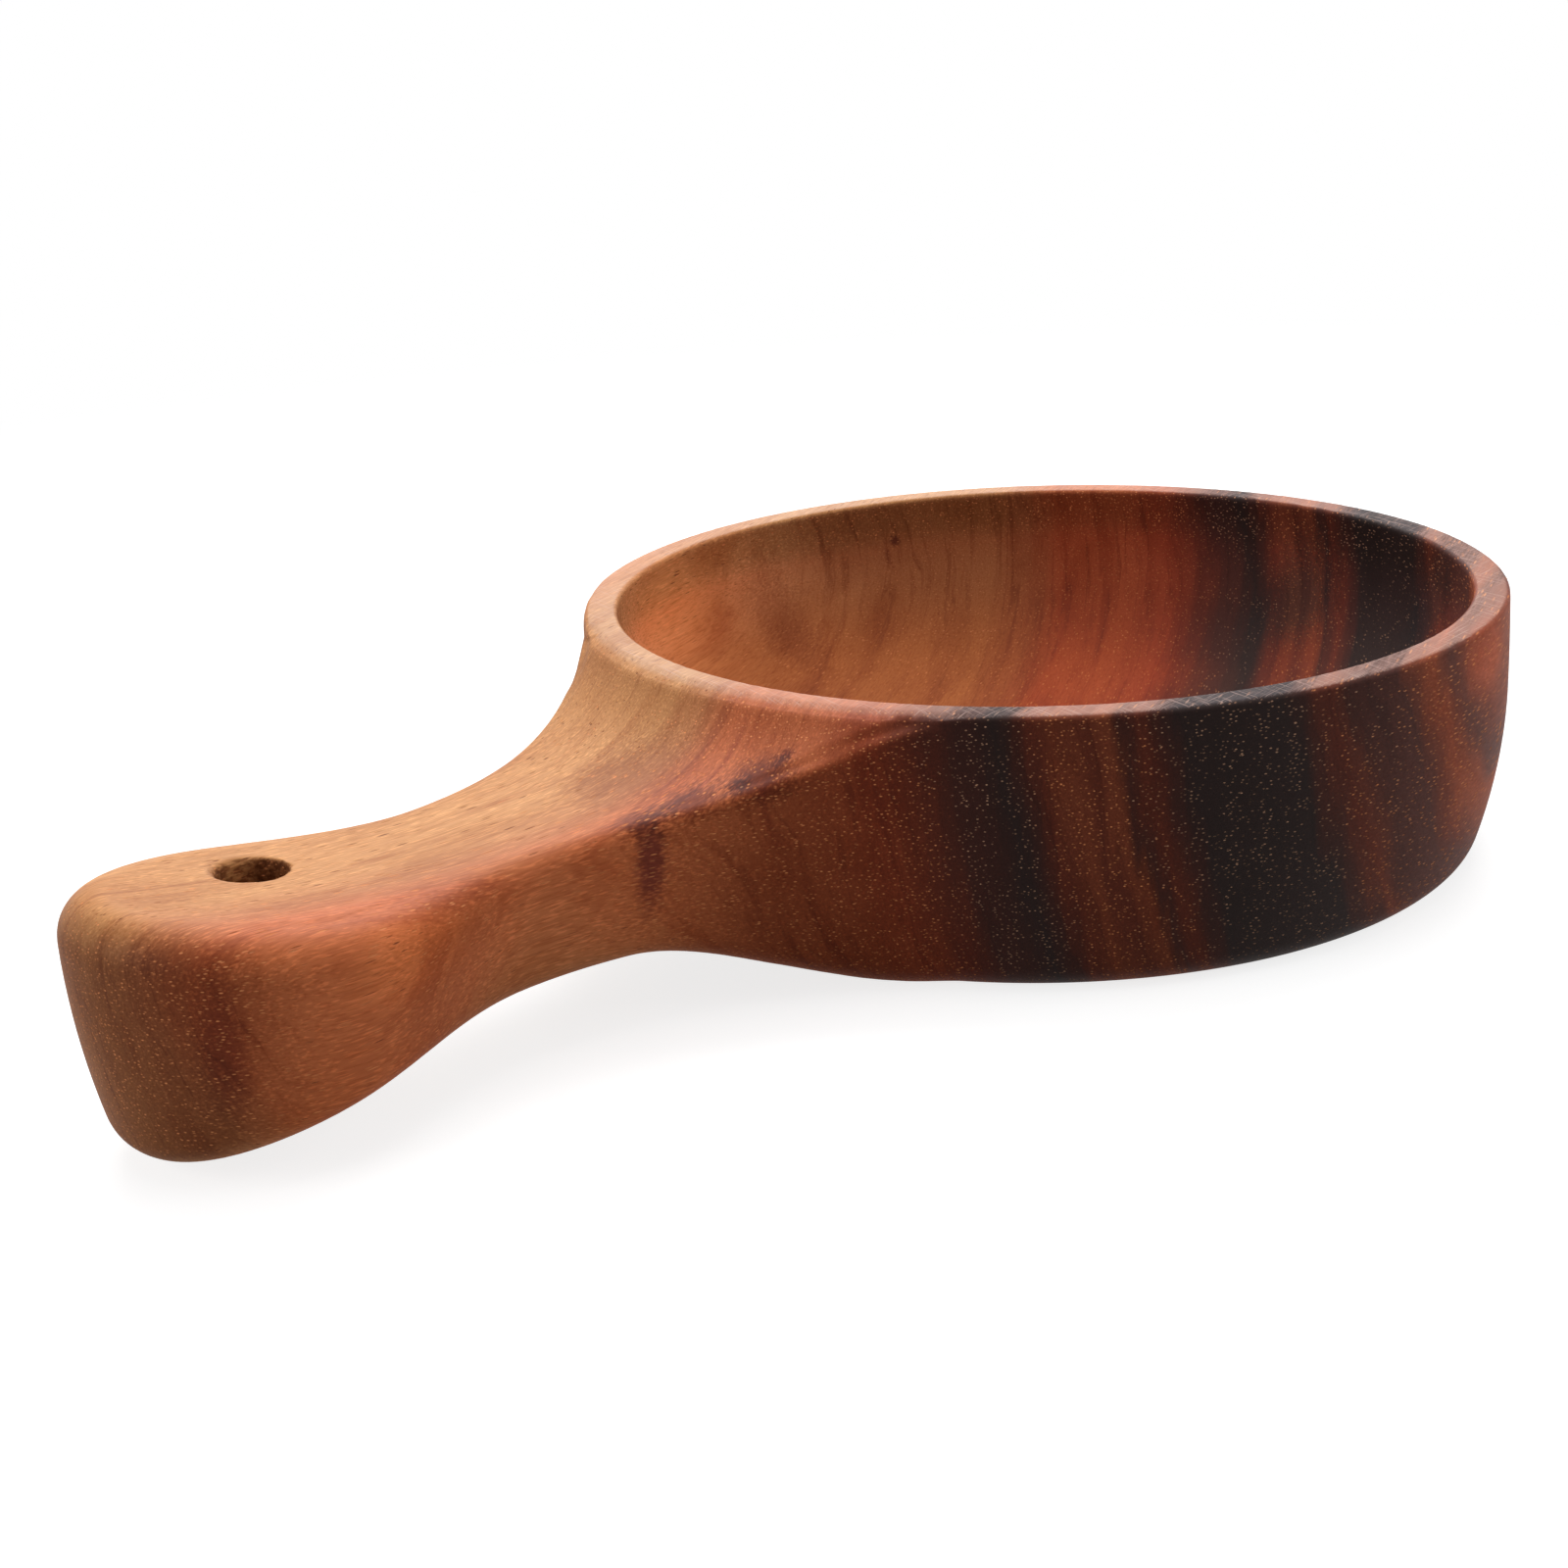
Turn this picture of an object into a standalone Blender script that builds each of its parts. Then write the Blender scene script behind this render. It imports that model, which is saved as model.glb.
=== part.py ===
"""Handled wooden bowl: a turned bowl and a paddle handle, carved from one block of wood.

The part stands on its base at z = 0 with the bowl's axis on Z. The handle points to -X.
All sizes are in metres.
"""
import math

import bmesh
import bpy

# Bowl
RIM_RADIUS = 0.0750        # outer edge of the rim
BOWL_HEIGHT = 0.0430
RIM_WIDTH = 0.0056
RIM_ROUND = 0.0009         # rounding of the rim's outer edge
LIP_ROUND = 0.0008         # rounding of the rim's inner edge
FLOOR_THICKNESS = 0.0085
CAVITY_FULLNESS = 2.5      # 2 is an elliptical cavity, higher is squarer
WALL_SWELL = 0.0002        # how far the wall bulges past the rim
SWELL_DEPTH = 0.0120       # the bulge is full this far below the rim
WALL_TUCK = 0.0050         # how far the wall draws in at its foot
TUCK_HEIGHT = 0.0280       # the wall starts to draw in this far above its foot
FOOT_ROUND = 0.0040        # rounding between the wall and the underside

# Handle, measured from the bowl's axis
HANDLE_REACH = 0.1752      # end of the handle
PADDLE_DISTANCE = 0.1490   # widest place of the paddle
PADDLE_WIDTH = 0.0492
NECK_DISTANCE = 0.1165     # narrowest place of the neck
NECK_WIDTH = 0.0338

# Top of the handle
NECK_THICKNESS = 0.0206
SCOOP_START = 0.0021       # the scoop leaves the bowl's wall this far below the rim
SCOOP_LENGTH = 0.0124      # distance in which the scoop loses most of its height
END_RISE = 0.0049          # the top climbs again toward the end
FLARE_EDGE = 0.0012        # rounding of the top edge beside the bowl
PADDLE_EDGE = 0.0059       # rounding of the top edge round the paddle
EDGE_START = 0.0700        # the rounding starts to grow here

# Underside of the handle
ARCH_START = 0.0652        # the arch leaves the base here
ARCH_TOP = 0.1015
ARCH_HEIGHT = 0.0109
END_LIFT = 0.0019          # gap between the handle's end and the table
ARCH_POWER = 2.6           # how the arch comes down again toward the end
GRIP_TUCK = 0.0037         # how far the handle's sides draw in at their foot
GRIP_START = 0.0760        # the wall's tuck changes into the handle's from here
GRIP_BLEND = 0.0300        # over this length

# Hang hole
HOLE_DIAMETER = 0.0098
HOLE_DISTANCE = 0.1460     # from the bowl's axis
HOLE_OFFSET = 0.0069       # to the +Y side of the handle's middle line
HOLE_CHAMFER = 0.0004

# Joining and cutting
JOIN_SINK = 0.0005         # the handle starts this far inside the bowl's wall and base
CUT_MARGIN = 0.0040        # cutters run this far past the faces they cut
EDGE_LIMIT = 0.9           # the top edge's rounding takes at most this share of a side
MERGE_DISTANCE = 0.00002   # points closer than this are one

# Facets
TURN_STEPS = 72
WALL_STEPS = 7
ROUND_STEPS = 3
CAVITY_STEPS = 10
FLARE_STEPS = 13
PADDLE_STEPS = 6
END_STEPS = 8
TOP_STEPS = 6
SIDE_STEPS = 4
HOLE_STEPS = 24

WOOD_COLOUR = (0.36, 0.15, 0.055, 1.0)
WOOD_ROUGHNESS = 0.45


def ease(share):
    """Smooth step from 0 to 1."""
    share = min(max(share, 0.0), 1.0)
    return share * share * (3.0 - 2.0 * share)


def clear_scene():
    for thing in list(bpy.data.objects):
        bpy.data.objects.remove(thing, do_unlink=True)


def make_collection(name):
    collection = bpy.data.collections.new(name)
    bpy.context.scene.collection.children.link(collection)
    return collection


def make_object(name, bm, collection):
    mesh = bpy.data.meshes.new(name)
    bm.to_mesh(mesh)
    bm.free()
    thing = bpy.data.objects.new(name, mesh)
    collection.objects.link(thing)
    return thing


def wood_material():
    material = bpy.data.materials.new("oiled_wood")
    material.use_nodes = True
    shader = material.node_tree.nodes["Principled BSDF"]
    shader.inputs["Base Color"].default_value = WOOD_COLOUR
    shader.inputs["Roughness"].default_value = WOOD_ROUGHNESS
    shader.inputs["Metallic"].default_value = 0.0
    return material


def turned(name, profile, steps, collection):
    """Solid of revolution about Z from (radius, z) points that run from top to bottom."""
    bm = bmesh.new()
    verts = [bm.verts.new((radius, 0.0, z)) for radius, z in profile]
    for upper, lower in zip(verts, verts[1:]):
        bm.edges.new((upper, lower))
    thing = make_object(name, bm, collection)
    screw = thing.modifiers.new("turn", "SCREW")
    screw.axis = "Z"
    screw.angle = math.tau
    screw.steps = steps
    screw.render_steps = steps
    screw.use_smooth_shade = True
    screw.use_merge_vertices = True
    screw.merge_threshold = MERGE_DISTANCE
    return thing


def cutter(thing):
    thing.hide_render = True
    thing.display_type = "WIRE"
    return thing


def boolean(thing, operation, tool):
    modifier = thing.modifiers.new(f"{operation.lower()}_{tool.name}", "BOOLEAN")
    modifier.operation = operation
    modifier.solver = "EXACT"
    modifier.object = tool


def wall_inset(height, tuck=WALL_TUCK):
    """How far a side lies inside its widest line, at a height above its foot."""
    inset = tuck * max(0.0, 1.0 - height / TUCK_HEIGHT) ** 2
    if height < FOOT_ROUND:
        rise = 1.0 - height / FOOT_ROUND
        inset += FOOT_ROUND * (1.0 - math.sqrt(1.0 - rise * rise))
    return inset


def foot_heights():
    """Heights up the rounded foot, from the underside to the top of the rounding."""
    return [FOOT_ROUND * (1.0 - math.cos(0.5 * math.pi * i / ROUND_STEPS)) for i in range(ROUND_STEPS + 1)]


def bowl_profile():
    """Outer side of the turned bowl, from the middle of its top to the middle of its base."""
    profile = [(0.0, BOWL_HEIGHT)]
    for i in range(ROUND_STEPS + 1):
        angle = 0.5 * math.pi * i / ROUND_STEPS
        profile.append((RIM_RADIUS - RIM_ROUND * (1.0 - math.sin(angle)),
                        BOWL_HEIGHT - RIM_ROUND * (1.0 - math.cos(angle))))
    top = BOWL_HEIGHT - RIM_ROUND
    for i in range(1, WALL_STEPS + 1):
        height = top + (FOOT_ROUND - top) * i / WALL_STEPS
        swell = WALL_SWELL * math.sin(0.5 * math.pi * min(1.0, (top - height) / SWELL_DEPTH))
        profile.append((RIM_RADIUS + swell - wall_inset(height), height))
    for height in reversed(foot_heights()[:-1]):
        profile.append((RIM_RADIUS + WALL_SWELL - wall_inset(height), height))
    profile.append((0.0, 0.0))
    return profile


def cavity_profile():
    """Inside of the bowl with its rounded lip, from above the rim to the middle of the floor."""
    mouth = RIM_RADIUS - RIM_WIDTH
    depth = BOWL_HEIGHT - FLOOR_THICKNESS
    lip_top = BOWL_HEIGHT + CUT_MARGIN
    profile = [(0.0, lip_top), (mouth + LIP_ROUND + CUT_MARGIN, lip_top)]
    for i in range(ROUND_STEPS):
        angle = 0.5 * math.pi * i / ROUND_STEPS
        profile.append((mouth + LIP_ROUND * (1.0 - math.sin(angle)),
                        BOWL_HEIGHT - LIP_ROUND * (1.0 - math.cos(angle))))
    wall_depth = depth - LIP_ROUND
    for i in range(CAVITY_STEPS + 1):
        angle = 0.5 * math.pi * i / CAVITY_STEPS
        radius = mouth * math.cos(angle) ** (2.0 / CAVITY_FULLNESS)
        drop = wall_depth * math.sin(angle) ** (2.0 / CAVITY_FULLNESS)
        profile.append((radius if i < CAVITY_STEPS else 0.0, BOWL_HEIGHT - LIP_ROUND - drop))
    return profile


def flare_arc():
    """Centre and radius of the arc that runs from the bowl's wall into the neck."""
    start = RIM_RADIUS - JOIN_SINK
    half_neck = 0.5 * NECK_WIDTH
    radius = (half_neck ** 2 + NECK_DISTANCE ** 2 - start ** 2) / (2.0 * (start - half_neck))
    return NECK_DISTANCE, half_neck + radius, radius


def handle_outline():
    """Places along the handle's half outline, from inside the bowl to the end."""
    centre_u, centre_v, radius = flare_arc()
    start_angle = math.atan2(centre_u, centre_v)
    places = []
    for i in range(FLARE_STEPS + 1):
        angle = start_angle * (1.0 - i / FLARE_STEPS)
        places.append((centre_u - radius * math.sin(angle), centre_v - radius * math.cos(angle)))
    for i in range(1, PADDLE_STEPS):
        share = i / PADDLE_STEPS
        places.append((NECK_DISTANCE + (PADDLE_DISTANCE - NECK_DISTANCE) * share,
                       0.5 * (NECK_WIDTH + (PADDLE_WIDTH - NECK_WIDTH) * ease(share))))
    for i in range(END_STEPS + 1):
        angle = 0.5 * math.pi * i / END_STEPS
        places.append((PADDLE_DISTANCE + (HANDLE_REACH - PADDLE_DISTANCE) * math.sin(angle),
                       0.5 * PADDLE_WIDTH * math.cos(angle) if i < END_STEPS else 0.0))
    return places


def handle_top(distance):
    """Height of the handle's top at a distance from the bowl's axis."""
    grip = ARCH_HEIGHT + NECK_THICKNESS
    drop = BOWL_HEIGHT - SCOOP_START - grip
    scoop = drop * math.exp(-max(0.0, distance - RIM_RADIUS) / SCOOP_LENGTH)
    climb = max(0.0, (distance - NECK_DISTANCE) / (HANDLE_REACH - NECK_DISTANCE))
    return grip + scoop + END_RISE * climb ** 2


def handle_underside(along):
    """Height of the handle's arched underside, by the place along the handle."""
    if along < ARCH_TOP:
        arch = ARCH_HEIGHT * ease((along - ARCH_START) / (ARCH_TOP - ARCH_START))
        return max(arch, JOIN_SINK)
    share = (along - ARCH_TOP) / (HANDLE_REACH - ARCH_TOP)
    return ARCH_HEIGHT - (ARCH_HEIGHT - END_LIFT) * share ** ARCH_POWER


def top_edge(distance):
    """Rounding of the handle's top edge: crisp beside the bowl, soft round the paddle."""
    share = (distance - EDGE_START) / (PADDLE_DISTANCE - EDGE_START)
    return FLARE_EDGE + (PADDLE_EDGE - FLARE_EDGE) * ease(share)


def toward_middle(place, share):
    """Plan point between the handle's middle line and a place: round the bowl's axis up to the
    paddle's widest place, then round a pivot inside the paddle."""
    pivot = math.hypot(PADDLE_DISTANCE, 0.5 * PADDLE_WIDTH)
    distance = math.hypot(*place)
    if distance <= pivot:
        angle = math.atan2(place[1], place[0]) * share
        return distance * math.cos(angle), distance * math.sin(angle)
    return pivot + (place[0] - pivot) * share, place[1] * share


def handle_section(place, inward):
    """Half section of the handle, from the middle of its top round the edge to the underside."""
    distance = math.hypot(*place)
    top = handle_top(distance)
    foot = handle_underside(place[0])
    tuck = WALL_TUCK + (GRIP_TUCK - WALL_TUCK) * ease((distance - GRIP_START) / GRIP_BLEND)
    edge = min(top_edge(distance), EDGE_LIMIT * (top - foot - FOOT_ROUND))

    def across(height, inset=0.0):
        """Plan point on the side at a height above the underside, moved further inward by an inset."""
        inset += wall_inset(height, tuck)
        return place[0] + inward[0] * inset, place[1] + inward[1] * inset

    points = []
    for i in range(TOP_STEPS):
        u, v = toward_middle(across(top - foot, edge), i / TOP_STEPS)
        points.append((u, v, handle_top(math.hypot(u, v))))
    for i in range(ROUND_STEPS + 1):
        angle = 0.5 * math.pi * i / ROUND_STEPS
        z = top - edge * (1.0 - math.cos(angle))
        points.append((*across(z - foot, edge * (1.0 - math.sin(angle))), z))
    low = foot + FOOT_ROUND
    high = top - edge
    for i in range(1, SIDE_STEPS):
        z = high + (low - high) * i / SIDE_STEPS
        points.append((*across(z - foot), z))
    for height in reversed(foot_heights()):
        points.append((*across(height), foot + height))
    bottom = across(0.0)
    lead = place[0] - bottom[0]
    for i in range(TOP_STEPS - 1, -1, -1):
        share = i / TOP_STEPS
        u, v = toward_middle(bottom, share)
        points.append((u, v, handle_underside(u + lead * share)))
    return points


def handle(collection):
    """Half of the handle lofted through its sections, mirrored about its middle plane."""
    places = handle_outline()
    bm = bmesh.new()
    rings = []
    for i, place in enumerate(places):
        before = places[max(i - 1, 0)]
        after = places[min(i + 1, len(places) - 1)]
        along = (after[0] - before[0], after[1] - before[1])
        length = math.hypot(*along)
        inward = (along[1] / length, -along[0] / length)
        if i == len(places) - 1:
            inward = (-1.0, 0.0)
        ring = [bm.verts.new((-u, -v, z)) for u, v, z in handle_section(place, inward)]
        rings.append(ring)
    bm.faces.new(rings[0])
    for ring, following in zip(rings, rings[1:]):
        for a, b, c, d in zip(ring, ring[1:], following[1:], following):
            bm.faces.new((a, d, c, b))
    bmesh.ops.remove_doubles(bm, verts=bm.verts, dist=MERGE_DISTANCE)
    for face in bm.faces:
        face.smooth = True
    thing = make_object("handle_blank", bm, collection)
    mirror = thing.modifiers.new("other_half", "MIRROR")
    mirror.use_axis = (False, True, False)
    mirror.merge_threshold = MERGE_DISTANCE
    return thing


def hang_hole(collection):
    """Drill with a small countersink at both faces of the handle."""
    top = handle_top(math.hypot(HOLE_DISTANCE, HOLE_OFFSET))
    foot = handle_underside(HOLE_DISTANCE)
    radius = 0.5 * HOLE_DIAMETER
    wide = radius + HOLE_CHAMFER + CUT_MARGIN
    high = top + CUT_MARGIN
    low = foot - CUT_MARGIN
    profile = [(0.0, high), (wide, high), (radius, top - HOLE_CHAMFER),
               (radius, foot + HOLE_CHAMFER), (wide, low), (0.0, low)]
    drill = turned("hang_hole_drill", profile, HOLE_STEPS, collection)
    drill.location = (-HOLE_DISTANCE, HOLE_OFFSET, 0.0)
    return drill


def build():
    clear_scene()
    parts = make_collection("handled_wooden_bowl")
    cutters = make_collection("cutters")

    bowl = turned("bowl", bowl_profile(), TURN_STEPS, parts)
    bowl.data.materials.append(wood_material())
    boolean(bowl, "UNION", cutter(handle(cutters)))
    boolean(bowl, "DIFFERENCE", cutter(turned("cavity", cavity_profile(), TURN_STEPS, cutters)))
    boolean(bowl, "DIFFERENCE", cutter(hang_hole(cutters)))


build()
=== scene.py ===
"""Looks of the handled wooden bowl: a finely modelled surface, its wood, the floor, light and camera."""
import math

import bmesh
import bpy
from mathutils import Matrix, Vector


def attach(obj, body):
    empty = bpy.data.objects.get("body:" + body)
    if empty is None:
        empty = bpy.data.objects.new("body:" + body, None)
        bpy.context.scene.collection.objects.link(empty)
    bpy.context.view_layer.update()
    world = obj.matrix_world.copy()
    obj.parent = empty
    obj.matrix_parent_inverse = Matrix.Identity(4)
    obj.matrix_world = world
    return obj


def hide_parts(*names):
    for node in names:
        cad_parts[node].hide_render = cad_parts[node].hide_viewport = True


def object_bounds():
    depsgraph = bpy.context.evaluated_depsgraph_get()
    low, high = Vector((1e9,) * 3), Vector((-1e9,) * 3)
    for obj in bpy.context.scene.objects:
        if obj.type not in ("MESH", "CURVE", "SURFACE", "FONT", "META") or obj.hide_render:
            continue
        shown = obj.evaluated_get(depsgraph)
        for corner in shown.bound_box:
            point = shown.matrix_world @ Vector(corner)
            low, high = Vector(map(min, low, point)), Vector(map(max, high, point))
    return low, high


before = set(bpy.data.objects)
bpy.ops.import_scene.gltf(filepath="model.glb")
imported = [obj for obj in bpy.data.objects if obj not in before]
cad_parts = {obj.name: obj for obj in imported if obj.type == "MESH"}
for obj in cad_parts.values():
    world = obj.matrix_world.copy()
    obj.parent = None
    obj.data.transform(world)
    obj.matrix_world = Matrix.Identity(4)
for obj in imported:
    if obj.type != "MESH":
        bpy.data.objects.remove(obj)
CAD_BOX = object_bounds()

# Bowl, in metres
RIM_RADIUS = 0.0750
BOWL_HEIGHT = CAD_BOX[1][2]
RIM_WIDTH = 0.0056
RIM_ROUND = 0.0007
LIP_ROUND = 0.0006
FLOOR_THICKNESS = 0.0085
CAVITY_FULLNESS = 2.5
WALL_SWELL = 0.0002
SWELL_DEPTH = 0.0120
WALL_TUCK = 0.0050
TUCK_HEIGHT = 0.0280
FOOT_ROUND = 0.0040

# Handle, measured from the bowl's axis
HANDLE_REACH = -CAD_BOX[0][0]
PADDLE_DISTANCE = 0.1490
PADDLE_WIDTH = 0.0492
NECK_DISTANCE = 0.1165
NECK_WIDTH = 0.0338
NECK_THICKNESS = 0.0206
SCOOP_LENGTH = 0.0103
END_RISE = 0.0049
FLARE_EDGE = 0.0012
PADDLE_EDGE = 0.0059
EDGE_START = 0.0700
ARCH_START = 0.0652
ARCH_TOP = 0.1015
ARCH_HEIGHT = 0.0109
END_LIFT = 0.0019
ARCH_POWER = 2.6
GRIP_TUCK = 0.0037
GRIP_START = 0.0760
GRIP_BLEND = 0.0300

# Hang hole in the paddle
HOLE_DIAMETER = 0.0098
HOLE_DISTANCE = 0.1460
HOLE_OFFSET = 0.0069
HOLE_CHAMFER = 0.0002

# Fall of the rim's outer edge beside the handle
RIM_SLOPE = 0.42
SLOPE_START = 0.0730
SLOPE_END = 0.0757
SLOPE_HALF_ANGLE = math.radians(40.0)
SLOPE_FADE_ANGLE = math.radians(10.0)

# Margins for joining and cutting the solids
JOIN_SINK = 0.0002
BASE_CLEARANCE = 0.00005     # keeps the handle's underside just above the base inside the bowl
CUT_MARGIN = 0.0040
MERGE_DISTANCE = 0.00002

# Fineness of the modelled surface
QUARTER_TURN = 0.5 * math.pi
TURN_STEPS = 240
WALL_STEPS = 24
ROUND_STEPS = 8
CAVITY_STEPS = 40
FLARE_STEPS = 40
PADDLE_STEPS = 16
END_STEPS = 24
TOP_STEPS = 16
SIDE_STEPS = 10
HOLE_STEPS = 48
VOXEL = 0.0005
SANDING_FACTOR = 0.5
SANDING_PASSES = 3
JOIN_SANDING_PASSES = 36
SKIN_TRIANGLES = 190000
TRIANGLES_PER_FACE = 2.0     # the voxel skin has four-sided faces

# Where the skin is sanded more: the join between the bowl's wall and the handle
JOIN_HALF_ANGLE = math.radians(56.0)
JOIN_FADE_ANGLE = math.radians(10.0)
JOIN_END_ANGLE = math.radians(28.0)    # past this on the far side the rim's edge is sanded too
JOIN_OUT = 0.0025
JOIN_REACH = 0.0020
JOIN_FADE = 0.0025
JOIN_BELOW = 0.0030                    # under the rim

# Camera, fitted to the photographed rim and outline
PHOTO_PIXELS = 1600
FOCAL_PIXELS = 2600
SENSOR_MM = 36.0
CAMERA_DISTANCE = 0.4232               # from the middle of the rim
CAMERA_ELEVATION = math.radians(14.305)
HANDLE_TURN = math.radians(47.33)      # the handle points this far out of the picture plane
CAMERA_PAN = math.radians(6.096)
CAMERA_TILT = math.radians(-4.322)
CAMERA_ROLL = math.radians(-3.032)
CAMERA_CLIP = 0.01

# Grain of the wood, in millimetres
MM = 1000.0                  # millimetres in a metre
RIM_MM = MM * BOWL_HEIGHT
MOUTH_MM = MM * (RIM_RADIUS - RIM_WIDTH)
HOLE_RADIUS_MM = 0.5 * MM * HOLE_DIAMETER
GRAIN_TURN_MM = 75.0         # the grain turns aside this far out from the bowl's axis
GRAIN_TURN_SOFT_MM = 12.0
GRAIN_SLOPE = 0.46
BAND_LEAN = 0.19             # the bands lean this much from upright

# Sizes of the figure in millimetres: along the grain, across it and up
WAVE_SIZE = (85.0, 22.0, 34.0)
WAVE_HEIGHT = 6.0
RIPPLE_SIZE = (28.0, 2.4, 22.0)
RIPPLE_HEIGHT = 5.0
MOTTLE_SIZE = (30.0, 12.0, 15.0)
STREAK_SIZE = (34.0, 4.0, 30.0)
LINE_SIZE = (26.0, 0.9, 22.0)
FIBRE_SIZE = (7.0, 0.30, 0.30)
FLECK_SIZE = (2.4, 0.34, 0.34)
PORE_SIZE = (4.6, 0.74, 0.42)
PORE_PATCH_SIZE = (22.0, 6.0, 8.0)
TORN_SIZE = (1.6, 0.7, 0.9)
SCRATCH_SIZE = (9.0, 0.24)
SCRATCH_ANGLES = (math.radians(8.0), math.radians(78.0))

# Values of a noise: its mean, and where a figure starts and is full
NOISE_MIDDLE = 0.5
MOTTLE_RANGE = (0.42, 0.75)
STREAK_RANGE = (0.48, 0.72)
LINE_RANGE = (0.50, 0.72)
FIBRE_RANGE = (0.42, 0.74)
FLECK_RANGE = (0.50, 0.72)
TORN_RANGE = (0.62, 0.36)
SCRATCH_RANGE = (0.58, 0.72)

# Where a surface counts as a top, as end grain, as the inside or as the flat of the rim
TOP_RANGE = (0.1, 0.9)       # upward part of its normal
END_RANGE = (0.15, 0.75)     # part of its normal along the grain
INSIDE_FADE_MM = 1.0
INSIDE_DEPTH_MM = 3.0
RIM_FADE_MM = 0.6
RIM_FADE_LOW_MM = 0.8        # below the rim's top
RIM_FADE_HIGH_MM = 0.2
RIM_FLATNESS = (0.80, 0.97)  # upward part of its normal
HOLE_FADE_MM = 0.4

# How much of a figure shows there
END_SHARE_ON_TOP_PAINTED_LIGHT = 0.50      # painted top light: end grain that faces up is darkened only half as much
LINE_SHARE_ON_SIDES = 0.4
FLECK_SHARE_ON_TOP = 0.75
FLECK_SHARE_INSIDE = 0.4
PORE_SHARE_INSIDE = 0.4


def srgb(red, green, blue):
    """Linear colour from 0 to 255 display values."""
    def linear(value):
        value /= 255.0
        return value / 12.92 if value <= 0.04045 else ((value + 0.055) / 1.055) ** 2.4
    return (linear(red), linear(green), linear(blue), 1.0)


# Colours of the wood, and the bands by their place across the grain
PALE = srgb(206, 146, 92)
WARM = srgb(202, 112, 67)
OLIVE = srgb(193, 124, 78)
RED = srgb(186, 94, 58)
BROWN = srgb(168, 94, 63)
RUST = srgb(156, 76, 44)
RUSSET = srgb(128, 64, 44)
DUSK = srgb(72, 39, 32)
DARK = srgb(84, 44, 35)
BLACK = srgb(44, 28, 26)
BANDS = [(-128.0, RUST), (-122.0, RUSSET), (-119.0, RUST), (-115.5, RUSSET), (-113.0, DARK),
         (-110.5, RUST), (-106.0, DARK), (-101.0, DARK), (-98.0, RUSSET), (-95.5, DARK), (-93.0, BLACK),
         (-78.5, BLACK), (-76.0, DARK), (-73.5, RUSSET), (-71.5, DARK), (-69.0, BROWN), (-66.0, RUSSET),
         (-63.0, BROWN), (-59.5, RUSSET), (-56.5, DUSK), (-54.0, BLACK), (-51.0, DUSK), (-47.0, DARK),
         (-43.0, RUSSET), (-36.0, RED), (-26.0, WARM), (-14.0, WARM), (-8.0, OLIVE), (0.0, PALE),
         (34.0, PALE), (60.0, WARM)]

# Tints, which multiply the colour below them
STREAK_TINT = (0.76, 0.64, 0.56, 1.0)
LINE_TINT = (0.70, 0.60, 0.54, 1.0)
MOTTLE_TINT = (0.80, 0.70, 0.60, 1.0)
FIBRE_TINT = (0.80, 0.71, 0.63, 1.0)
FLECK_TINT = (1.38, 1.46, 1.52, 1.0)
END_TINT = (0.39, 0.30, 0.26, 1.0)
# Painted light on the upright walls inside the bowl, painted shade on its floor
INSIDE_WALL_PAINTED_LIGHT_TINT = (1.44, 1.28, 1.42, 1.0)
INSIDE_FLOOR_PAINTED_SHADE_TINT = (0.62, 0.37, 0.23, 1.0)
HOLE_TINT = (0.50, 0.40, 0.34, 1.0)
SPOT_TINT = (0.42, 0.30, 0.34, 1.0)
SMUDGE_TINT = (0.72, 0.62, 0.58, 1.0)
BLUSH_TINT = (0.70, 0.59, 0.54, 1.0)
# Painted light: a brighter pool on a surface
PAINTED_LIGHT_TINT = (1.30, 1.36, 1.30, 1.0)
VEIN_TINT = (0.66, 0.52, 0.54, 1.0)
DARK_VEIN_TINT = (0.38, 0.28, 0.42, 1.0)
# Painted shade along the crease at the scoop's near edge
PAINTED_CREASE_SHADE_TINT = (0.36, 0.23, 0.16, 1.0)
DULL_TINT = (0.42, 0.66, 0.95, 1.0)
# Lighter tan wood inside the bowl, and painted light on the paddle's near side
TAN_AND_PAINTED_LIGHT_TINT = (1.40, 1.45, 1.35, 1.0)
PATCH_TINT = (2.10, 2.00, 1.80, 1.0)
# Sanded wood and painted sheen on the flat of the rim
RIM_SANDED_AND_SHEEN_TINT = (0.96, 1.16, 1.5, 1.0)
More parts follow.
